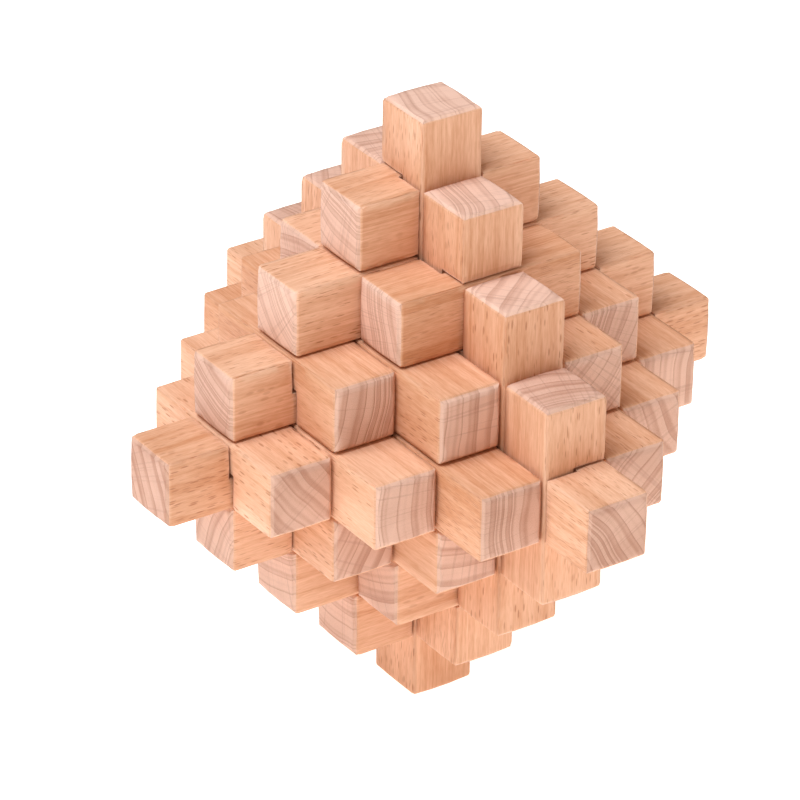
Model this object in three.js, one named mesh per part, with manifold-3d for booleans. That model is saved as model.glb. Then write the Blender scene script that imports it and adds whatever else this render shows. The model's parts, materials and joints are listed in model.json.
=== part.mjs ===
// A stacked burr puzzle of thirty-three square wooden bars, which together fill an octahedron.
// Every bar runs straight through the stack and shows both of its ends. Where two bars cross,
// each is notched to about half its thickness, so that they lap. One bar, the key, has a
// longer notch and slides one pitch towards the front. Until it has, no other bar can move.
// Millimetres, +Z up. X runs from left to right, Y from front to back. The origin is on the
// table, under the middle of the lowest bar end.
import * as THREE from "three";
import { mergeVertices } from "three/addons/utils/BufferGeometryUtils.js";
import Module from "manifold-3d";

const BAR = 15; // thickness of the square stock
const PLAY = 0.3; // gap between a bar and the next one
const PITCH = BAR + PLAY;
const REACH = 4; // pitches from the middle of the stack to the middle of each tip
const EDGE_CHAMFER = 0.2; // along the long edges
const END_CHAMFER = 0.6; // round the ends
const KEY_TRAVEL = 1; // pitches that the key slides

const LAP = (BAR - PLAY) / 2; // thickness left on each of two bars where they cross
const CUT_PAST = 1; // how far a cutter runs past the surface that it opens
const CENTRE_HEIGHT = REACH * PITCH + BAR / 2;
const X = 0;
const Y = 1;
const Z = 2;
const FRONT = -1;
const BACK = 1;
const LEFT = -1;
const RIGHT = 1;
const BOTTOM = -1;
const TOP = 1;

const wasm = await Module();
wasm.setup();

function solidFrom(geometry) {
  geometry.deleteAttribute("normal");
  geometry.deleteAttribute("uv");
  const merged = mergeVertices(geometry, 1e-4);
  return new wasm.Manifold(
    new wasm.Mesh({
      numProp: 3,
      vertProperties: merged.attributes.position.array,
      triVerts: new Uint32Array(merged.index.array),
    }),
  );
}

function geometryFrom(solid) {
  const mesh = solid.getMesh();
  const indexed = new THREE.BufferGeometry();
  indexed.setAttribute("position", new THREE.BufferAttribute(mesh.vertProperties, 3));
  indexed.setIndex(new THREE.BufferAttribute(mesh.triVerts, 1));
  const flat = indexed.toNonIndexed();
  flat.computeVertexNormals();
  return flat;
}

// A bar is known by the axis it runs along and by the cell its middle fills, in pitches from
// the middle of the stack. The further out it lies, the shorter it is.
function bar(name, axis, cell) {
  const offset = Math.abs(cell[X]) + Math.abs(cell[Y]) + Math.abs(cell[Z]);
  return { name, axis, cell, half: REACH - offset };
}

function crosswiseBars() {
  const bars = [bar("centre_bar_x", X, [0, 0, 0])];
  for (const [level, up] of [["top", TOP], ["bottom", BOTTOM]]) {
    for (let step = 1; step < REACH; step += 1) {
      bars.push(bar(`x_bar_${level}_${step}`, X, [0, 0, up * step]));
    }
    bars.push(bar(`x_side_bar_front_${level}`, X, [0, FRONT, up * 2]));
    bars.push(bar(`x_side_bar_back_${level}`, X, [0, BACK, up * 2]));
  }
  return bars;
}

function lengthwiseBars() {
  const bars = [bar("centre_bar_y", Y, [0, 0, 0])];
  for (const [hand, side] of [["left", LEFT], ["right", RIGHT]]) {
    for (let step = 1; step < REACH; step += 1) {
      const isKey = side === LEFT && step === 1;
      bars.push(bar(isKey ? "key_bar" : `y_bar_${hand}_${step}`, Y, [side * step, 0, 0]));
    }
    for (let step = 1; step < REACH - 1; step += 1) {
      bars.push(bar(`y_side_bar_${hand}_top_${step}`, Y, [side * step, 0, TOP]));
      bars.push(bar(`y_side_bar_${hand}_bottom_${step}`, Y, [side * step, 0, BOTTOM]));
    }
  }
  return bars;
}

function uprightBars() {
  const bars = [bar("centre_bar_z", Z, [0, 0, 0])];
  for (const [place, side] of [["front", FRONT], ["back", BACK]]) {
    for (let step = 1; step < REACH; step += 1) {
      bars.push(bar(`z_bar_${place}_${step}`, Z, [0, side * step, 0]));
    }
  }
  return bars;
}

// The cell where two bars cross, and the axis that neither runs along, on which they lap.
function crossing(one, other) {
  if (one.axis === other.axis) return null;
  const lapAxis = X + Y + Z - one.axis - other.axis;
  if (one.cell[lapAxis] !== other.cell[lapAxis]) return null;
  const cell = [...one.cell];
  cell[one.axis] = other.cell[one.axis];
  const within = Math.abs(cell[one.axis]) < one.half && Math.abs(cell[other.axis]) < other.half;
  return within ? { cell, lapAxis } : null;
}

// Which side of a crossing a bar keeps. In the middle plane of the stack the crosswise bars
// keep the back against the upright ones, the lengthwise bars the top against the crosswise
// ones and the right against the upright ones. Off that plane the outer bar keeps the outside.
function keptSide(axis, cell, lapAxis) {
  if (lapAxis === Y) {
    const crosswiseSide = cell[Y] === FRONT ? FRONT : BACK;
    return axis === X ? crosswiseSide : -crosswiseSide;
  }
  if (lapAxis === Z) {
    const lengthwiseSide = cell[Z] === BOTTOM ? BOTTOM : TOP;
    return axis === Y ? lengthwiseSide : -lengthwiseSide;
  }
  return axis === Y ? RIGHT : LEFT;
}

// A notch is one pitch long. It goes right across the bar and leaves LAP of its thickness.
function notchSolid(one, { cell, lapAxis }) {
  const low = cell.map((value) => (value - 0.5) * PITCH);
  const high = cell.map((value) => (value + 0.5) * PITCH);
  const kept = keptSide(one.axis, cell, lapAxis);
  const keptSurface = cell[lapAxis] * PITCH + kept * (BAR / 2);
  if (kept > 0) {
    low[lapAxis] -= CUT_PAST;
    high[lapAxis] = keptSurface - LAP;
  } else {
    low[lapAxis] = keptSurface + LAP;
    high[lapAxis] += CUT_PAST;
  }
  if (one.name === "key_bar") high[Y] += KEY_TRAVEL * PITCH;
  const size = high.map((value, axis) => value - low[axis]);
  const middle = high.map((value, axis) => (value + low[axis]) / 2);
  return solidFrom(new THREE.BoxGeometry(...size).translate(...middle));
}

// The cross-section of a bar: a square with its corners cut off by the given amount.
function crossSection(cut) {
  const side = BAR / 2;
  const flat = side - cut;
  const outline = new THREE.Shape();
  outline.moveTo(flat, -side);
  if (cut > 0) outline.lineTo(side, -flat);
  outline.lineTo(side, flat);
  if (cut > 0) outline.lineTo(flat, side);
  outline.lineTo(-flat, side);
  if (cut > 0) outline.lineTo(-side, flat);
  outline.lineTo(-side, -flat);
  if (cut > 0) outline.lineTo(-flat, -side);
  outline.closePath();
  return outline;
}

// An uncut bar that runs up Z. Its ends are chamfered all round and its long edges less.
function uprightStock(length) {
  const depth = length - 2 * END_CHAMFER;
  const chamferedEnds = new THREE.ExtrudeGeometry(crossSection(0), {
    depth,
    bevelSegments: 1,
    bevelThickness: END_CHAMFER,
    bevelSize: END_CHAMFER,
    bevelOffset: -END_CHAMFER,
  }).translate(0, 0, -depth / 2);
  const chamferedEdges = new THREE.ExtrudeGeometry(crossSection(EDGE_CHAMFER), {
    depth: length + 2 * CUT_PAST,
    bevelEnabled: false,
  }).translate(0, 0, -length / 2 - CUT_PAST);
  return solidFrom(chamferedEnds).intersect(solidFrom(chamferedEdges));
}

function stockSolid(one) {
  const upright = uprightStock(2 * one.half * PITCH + BAR);
  const turn = { [X]: [0, 90, 0], [Y]: [90, 0, 0], [Z]: [0, 0, 0] }[one.axis];
  return upright.rotate(turn).translate(one.cell.map((value) => value * PITCH));
}

function barGeometry(one, bars) {
  let solid = stockSolid(one);
  for (const other of bars) {
    const meeting = crossing(one, other);
    if (meeting) solid = solid.subtract(notchSolid(one, meeting));
  }
  return geometryFrom(solid);
}

function beech() {
  return new THREE.MeshStandardMaterial({ color: 0xe8b48e, roughness: 0.6, metalness: 0 });
}

const bars = [...crosswiseBars(), ...lengthwiseBars(), ...uprightBars()];
const puzzle = new THREE.Group();
for (const one of bars) {
  const mesh = new THREE.Mesh(barGeometry(one, bars), beech());
  mesh.name = one.name;
  mesh.position.z = CENTRE_HEIGHT;
  puzzle.add(mesh);
}

export default puzzle;
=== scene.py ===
import json
import math
import random

import bpy
import numpy as np
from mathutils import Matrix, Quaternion, Vector


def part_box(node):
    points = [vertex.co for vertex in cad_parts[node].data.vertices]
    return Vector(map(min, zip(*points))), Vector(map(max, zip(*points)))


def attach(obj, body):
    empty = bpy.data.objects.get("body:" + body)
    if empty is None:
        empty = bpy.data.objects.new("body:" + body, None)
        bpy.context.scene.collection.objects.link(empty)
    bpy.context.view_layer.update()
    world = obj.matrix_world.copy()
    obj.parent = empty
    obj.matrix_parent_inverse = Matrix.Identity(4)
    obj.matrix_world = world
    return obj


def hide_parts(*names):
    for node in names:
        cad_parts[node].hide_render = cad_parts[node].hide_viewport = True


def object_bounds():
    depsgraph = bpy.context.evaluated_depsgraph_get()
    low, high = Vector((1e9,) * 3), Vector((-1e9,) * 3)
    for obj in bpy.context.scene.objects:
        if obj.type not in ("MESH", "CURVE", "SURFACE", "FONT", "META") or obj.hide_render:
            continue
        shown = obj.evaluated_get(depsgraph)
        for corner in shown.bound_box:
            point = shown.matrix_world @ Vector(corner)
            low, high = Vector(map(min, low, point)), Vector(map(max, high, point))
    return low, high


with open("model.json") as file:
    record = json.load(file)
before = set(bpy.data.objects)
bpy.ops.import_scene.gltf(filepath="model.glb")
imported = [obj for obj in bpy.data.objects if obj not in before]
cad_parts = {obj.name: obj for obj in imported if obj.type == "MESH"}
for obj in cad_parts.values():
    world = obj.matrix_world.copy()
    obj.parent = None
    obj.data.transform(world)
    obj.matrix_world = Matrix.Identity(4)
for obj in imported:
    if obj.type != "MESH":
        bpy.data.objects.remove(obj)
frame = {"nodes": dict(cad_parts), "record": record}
cadLow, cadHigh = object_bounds()
middle = (cadLow + cadHigh) / 2
mm = 0.001

barNames = sorted(frame["nodes"])
bodyOfNode = {
    node: body
    for body, members in frame["record"]["behaviour"]["bodies"].items()
    for node in members
}


# a shader socket that can take part in Python expressions

class Signal:
    def __init__(self, tree, socket=None):
        self.tree = tree
        self.socket = socket

    def node(self, kind, settings=None, inputs=None, output=0):
        made = self.tree.nodes.new(kind)
        for name, value in (settings or {}).items():
            setattr(made, name, value)
        for name, value in (inputs or {}).items():
            target = made.inputs[name]
            if isinstance(value, Signal):
                self.tree.links.new(value.socket, target)
            else:
                target.default_value = value
        return Signal(self.tree, made.outputs[output])

    def math(self, operation, first, second=0.0, clamp=False):
        settings = {"operation": operation, "use_clamp": clamp}
        return self.node("ShaderNodeMath", settings, {0: first, 1: second})

    def __add__(self, other):
        return self.math("ADD", self, other)

    __radd__ = __add__

    def __sub__(self, other):
        return self.math("SUBTRACT", self, other)

    def __rsub__(self, other):
        return self.math("SUBTRACT", other, self)

    def __mul__(self, other):
        return self.math("MULTIPLY", self, other)

    __rmul__ = __mul__

    def __truediv__(self, other):
        return self.math("DIVIDE", self, other)

    def __pow__(self, other):
        return self.math("POWER", self, other)

    def ramp(self, low, high):  # 0 below low, 1 above high, smooth between
        settings = {"interpolation_type": "SMOOTHSTEP"}
        sockets = {"Value": self, "From Min": low, "From Max": high}
        return self.node("ShaderNodeMapRange", settings, sockets)

    def mix(self, first, second):  # self is the factor between two colours
        settings = {"data_type": "RGBA"}
        return self.node("ShaderNodeMix", settings, {0: self, 6: first, 7: second}, 2)


# beech: one solid pattern in each bar's own grain, in millimetres; the two numbers of a ramp
# are where a pattern starts to show and where it shows in full

beechWood = {
    "sideLight": (0.89, 0.54, 0.355, 1),
    "sideDeep": (0.60, 0.265, 0.125, 1),
    "endLight": (0.83, 0.545, 0.42, 1),
    "endDeep": (0.46, 0.225, 0.145, 1),
    "fleck": (0.44, 0.165, 0.07, 1),
    "endLine": (0.41, 0.21, 0.15, 1),
    # lighter colour on the rounded edges: partly sanding wear, partly a painted highlight
    "wornEdgeAndHighlight": (0.88, 0.60, 0.44, 1),
    "ringWidth": 3.8,
    "ringWander": 3.2,
    "ringUneven": 1.1,  # how many rings the widths may drift by
    "ringDrift": 0.16,  # how often they drift, per millimetre
    "rayRadius": 60.0,  # where the width of a ray is measured, from the pith
    "fleckSize": (0.5, 3.7, 9.0),  # round the ring, along the bar, towards the pith
    "fleckStrength": 0.75,
    "ringLineStrength": 0.14,
    "rayLineStrength": 0.28,
    "edgeStrength": 0.2,
    # noise scales, per millimetre: across, across, along
    "wander": (0.07, 0.07, 0.012),
    "patch": (0.16, 0.16, 0.05),
    "fibre": (3.6, 3.6, 0.32),
    "streak": (0.9, 0.9, 0.045),
    "cloud": (0.11, 0.11, 0.03),
    "pore": (7.0, 7.0, 0.5),
    "rayLine": (0.75, 0.12, 0.3),  # per fleck instead
    # what each pattern adds to the way from the light colour to the deep one
    "sideShade": {
        "base": -0.18, "streak": 0.2, "fibre": 0.26, "lateWood": 0.24, "cloud": 0.3, "tone": 0.4,
    },
    "endShade": {"base": -0.2, "lateWood": 0.42, "pore": 0.16, "cloud": 0.2, "tone": 0.62},
    "roughness": (0.5, 0.66),
    "specular": 0.32,
    "bumpStrength": 0.7,
    "bumpHeight": 0.1 * mm,
}


def beechMaterial():
    look = beechWood
    wood = bpy.data.materials.new("sandedBeech")
    wood.use_nodes = True
    tree = wood.node_tree
    shader = tree.nodes["Principled BSDF"]
    s = Signal(tree)

    def attribute(name, output):
        settings = {"attribute_type": "GEOMETRY", "attribute_name": name}
        return s.node("ShaderNodeAttribute", settings, None, output)

    def scaled(vector, factors):
        settings = {"operation": "MULTIPLY"}
        return s.node("ShaderNodeVectorMath", settings, {0: vector, 1: factors})

    def noise(vector, factors, detail=2.0):
        sockets = {"Vector": scaled(vector, factors), "Scale": 1.0, "Detail": detail}
        return s.node("ShaderNodeTexNoise", {"noise_dimensions": "3D"}, sockets)

    grain = attribute("grain", 1)  # place in the tree: two ways across from the pith, and along
    sideTone = attribute("sideTone", 2)
    endTone = attribute("endTone", 2)
    fleckShare = attribute("fleckShare", 2)
    endFace = attribute("endFace", 2)
    edge = attribute("edge", 2)
    flatSawn = attribute("flatSawn", 2)

    split = {"Vector": grain}
    across = s.node("ShaderNodeSeparateXYZ", None, split, 0)
    deep = s.node("ShaderNodeSeparateXYZ", None, split, 1)
    along = s.node("ShaderNodeSeparateXYZ", None, split, 2)

    # rings round the pith, a little uneven
    wander = noise(grain, look["wander"], 1.0) - 0.5
    radius = (across * across + deep * deep) ** 0.5 + wander * look["ringWander"]
    drift = {"W": radius * look["ringDrift"], "Detail": 0.0}
    uneven = s.node("ShaderNodeTexNoise", {"noise_dimensions": "1D"}, drift)
    ring = s.math("FRACT", radius / look["ringWidth"] + uneven * look["ringUneven"])
    lateWood = ring.ramp(0.25, 0.97) * (1.0 - ring.ramp(0.975, 1.0))
    ringLine = ring.ramp(0.84, 0.95) * (1.0 - ring.ramp(0.965, 1.0))

    # rays: thin round the ring, short along the bar, long towards the pith
    turn = s.math("ARCTAN2", deep, across) * look["rayRadius"]
    wide, tall, reach = look["fleckSize"]
    spindle = {"X": turn / wide, "Y": along / tall, "Z": radius / reach}
    place = s.node("ShaderNodeCombineXYZ", None, spindle)
    cells = {"Vector": place, "Scale": 1.0, "Randomness": 1.0}
    ray = s.node("ShaderNodeTexVoronoi", {"feature": "F1"}, cells, 0)
    draw = s.node("ShaderNodeTexVoronoi", {"feature": "F1"}, cells, 1)
    lot = s.node("ShaderNodeSeparateColor", None, {"Color": draw}, 0)
    patch = noise(grain, look["patch"], 1.0).ramp(0.3, 0.7)
    chosen = 1.0 - lot.ramp(0.2, 0.45 + fleckShare * (0.5 + patch * 0.8))
    fleck = (1.0 - ray.ramp(0.17, 0.36)) * chosen * flatSawn.ramp(0.1, 0.7)

    # fine fibres and slow changes of colour
    fibre = noise(grain, look["fibre"], 3.0)
    streak = noise(grain, look["streak"], 2.0)
    cloud = noise(grain, look["cloud"], 2.0)
    pore = noise(grain, look["pore"], 1.0)

    share = look["sideShade"]
    sideShade = (
        streak.ramp(0.28, 0.72) * share["streak"]
        + fibre.ramp(0.34, 0.66) * share["fibre"]
        + lateWood * share["lateWood"]
        + cloud.ramp(0.3, 0.7) * share["cloud"]
        + sideTone * share["tone"]
    )
    sideShade = s.math("ADD", sideShade, share["base"], clamp=True)
    side = sideShade.mix(look["sideLight"], look["sideDeep"])
    side = (fleck * look["fleckStrength"]).mix(side, look["fleck"])

    share = look["endShade"]
    endShade = (
        lateWood * share["lateWood"]
        + pore.ramp(0.35, 0.7) * share["pore"]
        + cloud.ramp(0.3, 0.7) * share["cloud"]
        + endTone * share["tone"]
    )
    endShade = s.math("ADD", endShade, share["base"], clamp=True)
    end = endShade.mix(look["endLight"], look["endDeep"])
    end = (ringLine * look["ringLineStrength"]).mix(end, look["endLine"])
    rayLine = noise(place, look["rayLine"], 1.0).ramp(0.57, 0.68)
    end = (rayLine * look["rayLineStrength"]).mix(end, look["endLine"])

    colour = endFace.mix(side, end)
    # the rounded edges are painted lighter: partly sanding wear, partly a painted highlight
    colour = (edge * look["edgeStrength"]).mix(colour, look["wornEdgeAndHighlight"])

    smooth, dull = look["roughness"]
    roughness = smooth + (dull - smooth) * (fibre * 0.5 + endFace * 0.5)
    fuzz = fibre * (1.0 - endFace) + pore * endFace
    height = fuzz * 0.7 - fleck * 0.5 - ringLine * endFace * 0.6
    sockets = {
        "Strength": look["bumpStrength"],
        "Distance": look["bumpHeight"],
        "Height": height,
    }
    normal = s.node("ShaderNodeBump", None, sockets)

    tree.links.new(colour.socket, shader.inputs["Base Color"])
    tree.links.new(roughness.socket, shader.inputs["Roughness"])
    tree.links.new(normal.socket, shader.inputs["Normal"])
    shader.inputs["Specular IOR Level"].default_value = look["specular"]
    return wood


# bars: each stands for its CAD solid, with rounded, sanded, slightly nicked edges

sandedBar = {
    "seed": 33,
    "weld": 0.01 * mm,
    "flatAngle": math.radians(1),  # faces that meet at less than this become one
    "shortestEdge": 0.02 * mm,
    "rounding": 0.12 * mm,
    "roundingSteps": 2,
    "roundedAngle": math.radians(30),  # edges sharper than this are rounded
    "shadedAngle": math.radians(35),  # edges sharper than this are shaded sharp
    "cutWeld": 0.001 * mm,
    "sliceLength": 1.7 * mm,
    "acrossCuts": (-6.4 * mm, -2.3 * mm, 2.3 * mm, 6.4 * mm),
    "cornerSize": 1.2 * mm,  # side of the cube that is softened at each corner of a bar
    "cornerFactor": 0.5,
    "cornerPasses": 3,
    "waveDepth": 0.16 * mm,
    "waveSize": 11 * mm,
    "nickDepth": 0.45 * mm,
    "nickSize": 2.1 * mm,
    "endLean": 0.6,  # a face is end grain when its normal runs along the bar more than this
    "flatLean": 0.97,  # a face is an edge when its normal has less than this along every axis
    "pithDistance": (28, 75),  # in mm, from the bar's middle to the middle of the tree
    "wayAlong": 900,  # in mm, so that bars are unlikely to share a stretch of grain
    "tone": (0.3, 0.7),
    "toneShift": 0.3,
    "fleckShare": (0.2, 0.9),
    "fleckExtra": 0.4,
    # the bars that stand out from the rest
    "paleSides": ("centre_bar_y", "y_bar_left_2", "x_bar_top_1", "x_bar_top_2", "y_bar_left_3"),
    "darkSides": ("centre_bar_x", "key_bar", "x_side_bar_front_top"),
    "paleEnds": (
        "centre_bar_z", "z_bar_front_1", "z_bar_front_2", "x_bar_top_2", "x_bar_top_3",
        "x_side_bar_front_top", "y_side_bar_left_top_1",
    ),
    "darkEnds": (
        "centre_bar_x", "key_bar", "y_bar_left_3", "centre_bar_y", "y_side_bar_left_top_2",
    ),
    "flecked": ("centre_bar_z", "centre_bar_x", "key_bar", "x_side_bar_front_top"),
}


def barAxis(node):
    low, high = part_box(node)
    size = high - low
    return max(range(3), key=lambda axis: size[axis])


def cloudTexture(name, size, depth):
    texture = bpy.data.textures.new(name, "CLOUDS")
    texture.noise_scale = size
    texture.noise_depth = depth
    return texture


def copySolid(node):
    bar = bpy.data.objects.new(node + "_wood", frame["nodes"][node].data.copy())
    bpy.context.scene.collection.objects.link(bar)
    bar.data.materials.clear()
    bar.data.materials.append(beech)
    bpy.ops.object.select_all(action="DESELECT")
    bar.select_set(True)
    bpy.context.view_layer.objects.active = bar
    bpy.ops.object.mode_set(mode="EDIT")
    bpy.ops.mesh.select_all(action="SELECT")
    bpy.ops.mesh.remove_doubles(threshold=sandedBar["weld"])
    bpy.ops.mesh.dissolve_limited(angle_limit=sandedBar["flatAngle"])
    bpy.ops.mesh.select_all(action="SELECT")
    bpy.ops.mesh.remove_doubles(threshold=sandedBar["shortestEdge"])
    bpy.ops.object.mode_set(mode="OBJECT")
    return bar


def roundEdges(bar):
    bevel = bar.modifiers.new("rounding", "BEVEL")
    bevel.width = sandedBar["rounding"]
    bevel.segments = sandedBar["roundingSteps"]
    bevel.limit_method = "ANGLE"
    bevel.angle_limit = sandedBar["roundedAngle"]
    bpy.ops.object.modifier_apply(modifier=bevel.name)


def sliceBar(bar, node, axis):
    low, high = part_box(node)
    centre = (low + high) / 2
    cuts = []
    count = round((high[axis] - low[axis]) / sandedBar["sliceLength"])
    for step in range(1, count):
        point = centre.copy()
        point[axis] = low[axis] + (high[axis] - low[axis]) * step / count
        cuts.append((point, axis))
    for end in (low[axis] + sandedBar["cornerSize"], high[axis] - sandedBar["cornerSize"]):
        point = centre.copy()
        point[axis] = end
        cuts.append((point, axis))
    for other in {0, 1, 2} - {axis}:
        for offset in sandedBar["acrossCuts"]:
            point = centre.copy()
            point[other] += offset
            cuts.append((point, other))
    bpy.ops.object.mode_set(mode="EDIT")
    for point, across in cuts:
        normal = [0.0, 0.0, 0.0]
        normal[across] = 1.0
        bpy.ops.mesh.select_all(action="SELECT")
        bpy.ops.mesh.bisect(plane_co=point, plane_no=normal, threshold=sandedBar["cutWeld"])
    bpy.ops.object.mode_set(mode="OBJECT")


# smooths the corners, and the line of the last cut too, because that is still selected
def softenCorners(bar, node):
    low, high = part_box(node)
    reach = sandedBar["cornerSize"]
    for vertex in bar.data.vertices:
        gaps = [min(vertex.co[i] - low[i], high[i] - vertex.co[i]) for i in range(3)]
        vertex.select = max(gaps) < reach
    bpy.ops.object.mode_set(mode="EDIT")
    bpy.ops.mesh.vertices_smooth(
        factor=sandedBar["cornerFactor"], repeat=sandedBar["cornerPasses"]
    )
    bpy.ops.object.mode_set(mode="OBJECT")


def drawTone(node, draw, pale, dark):
    tone = draw.uniform(*sandedBar["tone"])
    return tone + sandedBar["toneShift"] * ((node in sandedBar[dark]) - (node in sandedBar[pale]))


def storeLooks(bar, node, axis, draw):
    mesh = bar.data
    low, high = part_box(node)
    centre = (low + high) / 2
    place = np.empty(len(mesh.vertices) * 3)
    mesh.vertices.foreach_get("co", place)
    place = (place.reshape(-1, 3) - np.array(centre)) / mm

    others = [other for other in range(3) if other != axis]
    turned = draw.uniform(0, 2 * math.pi)
    distance = draw.uniform(*sandedBar["pithDistance"])
    first = place[:, others[0]]
    second = place[:, others[1]]
    grain = np.column_stack((
        first * math.cos(turned) - second * math.sin(turned) + distance,
        first * math.sin(turned) + second * math.cos(turned),
        place[:, axis] + draw.uniform(0, sandedBar["wayAlong"]),
    ))
    stored = mesh.attributes.new("grain", "FLOAT_VECTOR", "POINT")
    stored.data.foreach_set("vector", grain.astype(np.float32).ravel())

    endFace = [abs(face.normal[axis]) > sandedBar["endLean"] for face in mesh.polygons]
    stored = mesh.attributes.new("endFace", "FLOAT", "FACE")
    stored.data.foreach_set("value", np.array(endFace, np.float32))

    outward = Vector((0, 0, 0))  # from the pith, across the growth rings
    outward[others[0]] = math.cos(turned)
    outward[others[1]] = -math.sin(turned)
    sawn = [abs(face.normal.dot(outward)) for face in mesh.polygons]
    stored = mesh.attributes.new("flatSawn", "FLOAT", "FACE")
    stored.data.foreach_set("value", np.array(sawn, np.float32))

    # faces of the rounded edges: nicks are cut here, and the shader paints them lighter, partly
    # as sanding wear, partly as a painted highlight
    edge = np.zeros(len(mesh.vertices), np.float32)
    for face in mesh.polygons:
        if max(abs(part) for part in face.normal) < sandedBar["flatLean"]:
            edge[list(face.vertices)] = 1.0
    stored = mesh.attributes.new("edge", "FLOAT", "POINT")
    stored.data.foreach_set("value", edge)

    extra = sandedBar["fleckExtra"] if node in sandedBar["flecked"] else 0
    looks = {
        "sideTone": drawTone(node, draw, "paleSides", "darkSides"),
        "endTone": drawTone(node, draw, "paleEnds", "darkEnds"),
        "fleckShare": draw.uniform(*sandedBar["fleckShare"]) + extra,
    }
    for name, value in looks.items():
        stored = mesh.attributes.new(name, "FLOAT", "POINT")
        stored.data.foreach_set("value", np.full(len(mesh.vertices), value, np.float32))
    return edge


def wearBar(bar, edge):
    near = bar.vertex_groups.new(name="edges")
    near.add([int(i) for i in np.flatnonzero(edge)], 1.0, "REPLACE")
    for name, texture, depth, group in (
        ("waves", waveTexture, sandedBar["waveDepth"], ""),
        ("nicks", nickTexture, sandedBar["nickDepth"], near.name),
    ):
        wear = bar.modifiers.new(name, "DISPLACE")
        wear.texture = texture
        wear.texture_coords = "LOCAL"
        wear.strength = depth
        wear.mid_level = 1.0  # only ever inwards
        wear.vertex_group = group
        bpy.ops.object.modifier_apply(modifier=wear.name)
    bar.vertex_groups.clear()


def keepWithin(bar, low, high):
    place = np.empty(len(bar.data.vertices) * 3)
    bar.data.vertices.foreach_get("co", place)
    place = np.clip(place.reshape(-1, 3), np.array(low), np.array(high))
    bar.data.vertices.foreach_set("co", place.ravel())
    bar.data.update()


def makeBar(node, draw):
    axis = barAxis(node)
    bar = copySolid(node)
    roundEdges(bar)
    sliceBar(bar, node, axis)
    softenCorners(bar, node)
    edge = storeLooks(bar, node, axis, draw)
    wearBar(bar, edge)
    keepWithin(bar, *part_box(node))
    bpy.ops.object.shade_smooth_by_angle(angle=sandedBar["shadedAngle"])
    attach(bar, bodyOfNode[node])
    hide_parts(node)


beech = beechMaterial()
waveTexture = cloudTexture("sandingWaves", sandedBar["waveSize"], 1)
nickTexture = cloudTexture("edgeNicks", sandedBar["nickSize"], 2)
draw = random.Random(sandedBar["seed"])
for node in barNames:
    makeBar(node, draw)
print("bars:", len(barNames))


# floor, light and camera

studio = {
    "floorSize": 8.0,
    "floorDrop": 0.2 * mm,  # just under the foot
    "floorColour": (0.80, 0.80, 0.80, 1),
    "floorRoughness": 0.9,
    "floorGlow": 0.9,  # a white table lit from below
    "glowColour": (1.0, 0.98, 0.95, 1),
    "skyColour": (1.0, 0.84, 0.71, 1),
    "skyStrength": 0.36,
    "keyPower": 26,
    "keyColour": (0.94, 1.0, 1.1),
    "keyPlace": (-0.7, -0.05, 1.55),
    "keySize": 1.0,
    "fillPower": 0.62,
    "fillColour": (1.0, 0.88, 0.76),
    "fillPlace": (0.55, -0.5, 0.1),
    "fillSize": 0.3,
}

camera = {
    "sensorWidth": 36,
    "clipStart": 0.05,
    "lens": 224.3,
    "azimuth": -34.41,
    "elevation": 28.75,
    "distance": 1.0497,
    "lookAzimuth": -34.05,
    "lookDown": 28.81,
    "roll": 0.80,
}


def makeFloor():
    place = (0, 0, -studio["floorDrop"])
    bpy.ops.mesh.primitive_plane_add(size=studio["floorSize"], location=place)
    floor = bpy.context.object
    floor.name = "floor"
    paper = bpy.data.materials.new("whitePaper")
    paper.use_nodes = True
    shader = paper.node_tree.nodes["Principled BSDF"]
    shader.inputs["Base Color"].default_value = studio["floorColour"]
    shader.inputs["Roughness"].default_value = studio["floorRoughness"]
    shader.inputs["Emission Color"].default_value = studio["glowColour"]
    shader.inputs["Emission Strength"].default_value = studio["floorGlow"]
    floor.data.materials.append(paper)


def makeLamp(name):
    place = studio[name + "Place"]
    bpy.ops.object.light_add(type="AREA", location=place)
    lamp = bpy.context.object
    lamp.name = name
    lamp.data.size = studio[name + "Size"]
    lamp.data.energy = studio[name + "Power"]
    lamp.data.color = studio[name + "Colour"]
    lamp.rotation_euler = (middle - Vector(place)).to_track_quat("-Z", "Y").to_euler()


def awayFrom(azimuth, elevation):
    a, e = math.radians(azimuth), math.radians(elevation)
    return Vector((math.sin(a) * math.cos(e), -math.cos(a) * math.cos(e), math.sin(e)))


def makeCamera():
    place = middle + awayFrom(camera["azimuth"], camera["elevation"]) * camera["distance"]
    bpy.ops.object.camera_add(location=place)
    made = bpy.context.object
    made.data.sensor_width = camera["sensorWidth"]
    made.data.lens = camera["lens"]
    made.data.clip_start = camera["clipStart"]
    facing = -awayFrom(camera["lookAzimuth"], camera["lookDown"])
    level = facing.to_track_quat("-Z", "Y")
    made.rotation_mode = "QUATERNION"
    made.rotation_quaternion = level @ Quaternion((0, 0, 1), math.radians(camera["roll"]))
    bpy.context.scene.camera = made


makeFloor()
makeLamp("key")
makeLamp("fill")
makeCamera()
world = bpy.data.worlds.new("studio")
bpy.context.scene.world = world
world.use_nodes = True
sky = world.node_tree.nodes["Background"]
sky.inputs["Color"].default_value = studio["skyColour"]
sky.inputs["Strength"].default_value = studio["skyStrength"]
bpy.context.scene.view_settings.view_transform = "Standard"
print("studio: floor, two lamps and camera")
